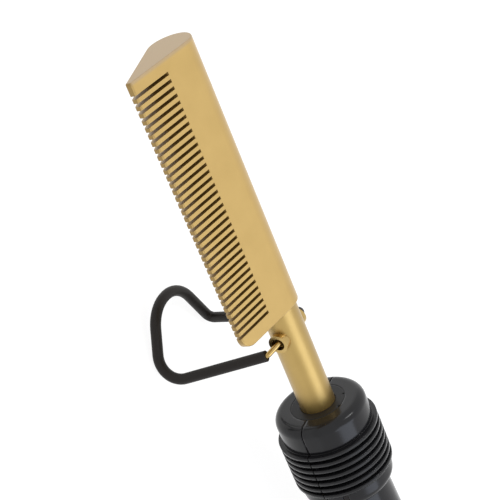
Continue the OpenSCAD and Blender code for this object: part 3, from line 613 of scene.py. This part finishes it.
# %% The blank, before its teeth are cut
def head_blank():
    """The bar as drawn, with its corners softened: round spine, flat sides, both ends."""
    bpy.ops.object.select_all(action="DESELECT")
    bpy.ops.mesh.primitive_cylinder_add(
        vertices=72, radius=SPINE_R * MM, depth=(HEAD_FRONT - HEAD_REAR) * MM,
        end_fill_type="NOTHING", rotation=section_turn,
        location=place((HEAD_FRONT + HEAD_REAR) / 2, 0, 0))
    blank = bpy.context.object
    bpy.ops.object.mode_set(mode="EDIT")
    # open the cylinder where the flat sides leave it
    leave_y = SPINE_R * math.cos(math.radians(LEAVE_DEGREES))
    pick(blank, "faces", lambda p, face: p.y > leave_y)
    bpy.ops.mesh.delete(type="FACE")
    # pull the two open edges out to the tips of the teeth
    for side in (1, -1):
        leave_z = side * SPINE_R * math.sin(math.radians(LEAVE_DEGREES))
        pick(blank, "edges", lambda p, edge: abs(p.y - leave_y) < NEAR
             and abs(p.z - leave_z) < NEAR and edge.calc_length() > LONG_EDGE)
        pull = place(0, TOOTH_REACH, side * TOOTH_TIP_W / 2) - place(0, leave_y, leave_z)
        bpy.ops.mesh.extrude_edges_move(TRANSFORM_OT_translate={"value": pull})
    # close the tips, then both ends
    pick(blank, "edges", lambda p, edge: p.y > TOOTH_REACH - NEAR
         and edge.calc_length() > LONG_EDGE)
    bpy.ops.mesh.edge_face_add()
    bpy.ops.mesh.select_all(action="SELECT")
    bpy.ops.mesh.fill_holes(sides=0)
    bpy.ops.mesh.normals_make_consistent(inside=False)
    # the rear corner of the toothed side is a large round
    pick(blank, "edges", lambda p, edge: p.y > TOOTH_REACH - NEAR and p.x < HEAD_REAR + NEAR)
    bpy.ops.mesh.bevel(offset=REAR_CORNER_R * MM, segments=10, affect="EDGES")
    # soften the whole outline: both ends and the line of the tips
    pick(blank, "edges", lambda p, edge: edge.calc_face_angle(0) > math.radians(40))
    bpy.ops.mesh.bevel(offset=OUTLINE_BEVEL * MM, segments=3, affect="EDGES")
    bpy.ops.object.mode_set(mode="OBJECT")
    return blank


head = head_blank()
print("blank faces:", len(head.data.polygons))


# %% [markdown]
# The saw is one thin block, repeated by an Array modifier. Two cylinders cut the socket of the
# tube and the bore of the heater, which the finished comb hides.


# %% Saw the teeth
OVERSHOOT = 2


def cut_from(piece, cutter):
    """Takes a cutter's shape out of a piece, and removes the cutter."""
    apply_modifier(piece, "BOOLEAN", object=cutter, operation="DIFFERENCE", solver="EXACT")
    bpy.data.objects.remove(cutter)


def slot_saw():
    """One thin block for each slot, set in a row along the comb."""
    bpy.ops.object.select_all(action="DESELECT")
    reach = TOOTH_REACH + 2 * OVERSHOOT - SLOT_REACH
    first_middle = place(FIRST_SLOT - SLOT_W / 2, SLOT_REACH + reach / 2, 0)
    bpy.ops.mesh.primitive_cube_add(size=1, rotation=section_turn, location=first_middle)
    saw = bpy.context.object
    saw.scale = (reach * MM, 3 * SPINE_R * MM, SLOT_W * MM)
    bpy.ops.object.transform_apply(location=False, rotation=False, scale=True)
    apply_modifier(saw, "ARRAY", count=SLOT_COUNT, use_relative_offset=False,
                   use_constant_offset=True, constant_offset_displace=(0, 0, -SLOT_PITCH * MM))
    return saw


def bore(radius, front):
    """A round cutter from behind the head up to a given place."""
    bpy.ops.object.select_all(action="DESELECT")
    bpy.ops.mesh.primitive_cylinder_add(
        vertices=64, radius=radius * MM, depth=(front - HEAD_REAR + OVERSHOOT) * MM,
        rotation=section_turn, location=place((front + HEAD_REAR - OVERSHOOT) / 2, 0, 0))
    return bpy.context.object


cut_from(head, slot_saw())
cut_from(head, bore(SOCKET_R, HEAD_REAR + SOCKET_DEPTH))
cut_from(head, bore(HEATER_BORE_R, HEAD_FRONT - TIP_WALL))
print("sawn faces:", len(head.data.polygons))

# %% [markdown]
# The saw's edges get a hair-fine bevel, so that each tooth catches a thread of light, and the
# normals are weighted by face size, so that the broad flat sides stay flat beside it.

# %% Finish the head
bpy.context.view_layer.objects.active = head
apply_modifier(head, "BEVEL", width=SLOT_BEVEL * MM, segments=2, limit_method="ANGLE",
               angle_limit=math.radians(50))
bpy.ops.object.select_all(action="DESELECT")
head.select_set(True)
bpy.ops.object.shade_smooth_by_angle(angle=math.radians(35))
apply_modifier(head, "WEIGHTED_NORMAL", keep_sharp=True)
finish_piece(head, "sawn_head", head_gold_painted_light, "comb", ["comb_head"])

# %% [markdown]
# ## Stand
#
# The stand is one drawn wire, bent over round formers, with a black sleeve pulled over most of
# it. By hand it is made the same way here: a circle is pushed along each straight run by
# extrude, and turned about the former by spin, which keeps it truly round in every bend.

# %% The path of the wire, in mm from the stand's pivot
# from the bare pin on the toothed side, round the foot, to the sleeved pin on the other side;
# a hand bent it, so its two halves differ a little: one heel is round, the other a kink
WIRE_CORNERS = [(0, 5.6, 0), (0, 7.8, 0), (-1.8, 13.2, -3.4), (-7.5, 21.7, -49.9),
                (18.2, 7.8, -48.8), (18.2, -10.5, -48.8), (-6.0, -20.8, -48.3),
                (-1.8, -13.2, -3.4), (0, -12.0, 0), (0, -5.6, 0)]
WIRE_BENDS = [0, 1.5, 1.6, 9.3, 12.5, 15.6, 2.5, 4, 2.4, 0]
WIRE_R = 1.08
WIRE_SIDES = 24
DEGREES_PER_STEP = 7
FEWEST_STEPS = 4
print("corners of the wire:", len(WIRE_CORNERS))


# %% Bending a rod
def round_corner(before, corner, after, radius):
    """Start, centre, axis and angle of the bend between two straight runs."""
    arriving = (corner - before).normalized()
    leaving = (after - corner).normalized()
    axis = arriving.cross(leaving).normalized()
    angle = arriving.angle(leaving)
    start = corner - arriving * radius * math.tan(angle / 2)
    return start, start + axis.cross(arriving) * radius, axis, angle


def bent_rod(corners, bends, radius, sides):
    """An open round tube through corners in mm, turned about a former at each of them."""
    points = [place(*corner) for corner in corners]
    heading = (points[1] - points[0]).normalized()
    bpy.ops.object.select_all(action="DESELECT")
    bpy.ops.mesh.primitive_circle_add(vertices=sides, radius=radius * MM, location=points[0],
                                      rotation=heading.to_track_quat("Z", "Y").to_euler())
    rod = bpy.context.object
    bpy.ops.object.mode_set(mode="EDIT")
    here = points[0]
    for i in range(1, len(points) - 1):
        start, centre, axis, angle = round_corner(*points[i - 1:i + 2], bends[i] * MM)
        bpy.ops.mesh.extrude_region_move(TRANSFORM_OT_translate={"value": start - here})
        steps = max(FEWEST_STEPS, round(math.degrees(angle) / DEGREES_PER_STEP))
        # with no window, spin turns against the right-hand rule, so the angle is negative
        bpy.ops.mesh.spin(steps=steps, angle=-angle, center=centre, axis=axis)
        here = centre + Matrix.Rotation(angle, 3, axis) @ (start - centre)
    bpy.ops.mesh.extrude_region_move(TRANSFORM_OT_translate={"value": points[-1] - here})
    bpy.ops.mesh.select_all(action="SELECT")
    bpy.ops.mesh.remove_doubles(threshold=0.0001 * MM)
    bpy.ops.mesh.normals_make_consistent(inside=False)
    bpy.ops.object.mode_set(mode="OBJECT")
    return rod


# %% The bare wire
wire = bent_rod(WIRE_CORNERS, WIRE_BENDS, WIRE_R, WIRE_SIDES)
bpy.ops.object.mode_set(mode="EDIT")
bpy.ops.mesh.select_all(action="SELECT")
bpy.ops.mesh.fill_holes(sides=0)
bpy.ops.mesh.normals_make_consistent(inside=False)
bpy.ops.object.mode_set(mode="OBJECT")
bpy.ops.object.shade_smooth_by_angle(angle=math.radians(40))
finish_piece(wire, "bent_wire", brass, "stand", ["bail_wire"])

# %% [markdown]
# The sleeve follows the same bends. It starts at the knee on the toothed side, and reaches the
# boss on the other side. Solidify gives it its wall, and the rims are bevelled, because a cut
# silicone tube never ends in a sharp edge.

# %% The sleeve
SLEEVE_R = 2.15
SLEEVE_WALL = 1.02
SLEEVE_SIDES = 32
SLEEVE_RIM = 0.3
BELOW_KNEE = 0.4
FAR_BOSS_MOUTH = (0, -10.0, 0)
knee = Vector(WIRE_CORNERS[2])
leg_down = (Vector(WIRE_CORNERS[3]) - knee).normalized()
sleeve_start = knee + leg_down * BELOW_KNEE
sleeve_corners = [tuple(sleeve_start)] + WIRE_CORNERS[3:-1] + [FAR_BOSS_MOUTH]
sleeve = bent_rod(sleeve_corners, [0] + WIRE_BENDS[3:], SLEEVE_R, SLEEVE_SIDES)
apply_modifier(sleeve, "SOLIDIFY", thickness=SLEEVE_WALL * MM, offset=-1)
apply_modifier(sleeve, "BEVEL", width=SLEEVE_RIM * MM, segments=3, limit_method="ANGLE",
               angle_limit=math.radians(60))
bpy.ops.object.shade_smooth_by_angle(angle=math.radians(50))
finish_piece(sleeve, "sleeve_tube", silicone_black, "stand", ["bail_sleeve"])

# %% [markdown]
# ## Bosses
#
# Each boss is a small turned cup, whose mouth the wire leaves at a slant. It is made as on a
# lathe: a ring is extruded along the hinge and scaled at each step. Its wall, its flat lip, the
# slanting inside of the mouth and the floor round the wire are one step each. The second boss
# is the first one, turned round on the hinge.

# %% Sizes of a boss: radius and distance from the shank's axis, in mm
BOSS_STEPS = [(3.8, 5.5), (3.8, 9.2), (2.5, 9.2), (2.1, 7.6), (1.1, 7.2)]
BOSS_SIDES = 48
print("boss:", 2 * BOSS_STEPS[0][0], "mm across, to", BOSS_STEPS[1][1], "mm from the axis")


# %% The boss on the toothed side
def turned_cup(steps, sides):
    """A cup turned about the hinge, from its steps of radius and reach."""
    radius, reach = steps[0]
    bpy.ops.object.select_all(action="DESELECT")
    bpy.ops.mesh.primitive_circle_add(
        vertices=sides, radius=radius * MM, location=place(0, reach, 0),
        rotation=across.to_track_quat("Z", "Y").to_euler())
    cup = bpy.context.object
    bpy.ops.object.mode_set(mode="EDIT")
    for next_radius, next_reach in steps[1:]:
        move = across * (next_reach - reach) * MM
        bpy.ops.mesh.extrude_region_move(TRANSFORM_OT_translate={"value": move})
        bpy.ops.transform.resize(value=(next_radius / radius,) * 3,
                                 center_override=place(0, next_reach, 0))
        radius, reach = next_radius, next_reach
    bpy.ops.mesh.select_all(action="SELECT")
    bpy.ops.mesh.normals_make_consistent(inside=False)
    bpy.ops.object.mode_set(mode="OBJECT")
    return cup


boss = turned_cup(BOSS_STEPS, BOSS_SIDES)
bpy.ops.object.shade_smooth_by_angle(angle=math.radians(50))
print("boss faces:", len(boss.data.polygons))

# %% Its copy on the spine side
other_boss = boss.copy()
other_boss.data = boss.data.copy()
bpy.context.collection.objects.link(other_boss)
half_turn = Matrix.Rotation(math.pi, 4, upward)
about_pivot = Matrix.Translation(pivot) @ half_turn @ Matrix.Translation(-pivot)
other_boss.matrix_world = about_pivot @ boss.matrix_world
finish_piece(boss, "boss_cup_toothed_side", brass, "comb",
             ["pivot_boss_toothed_side"])
finish_piece(other_boss, "boss_cup_spine_side", brass, "comb",
             ["pivot_boss_spine_side"])
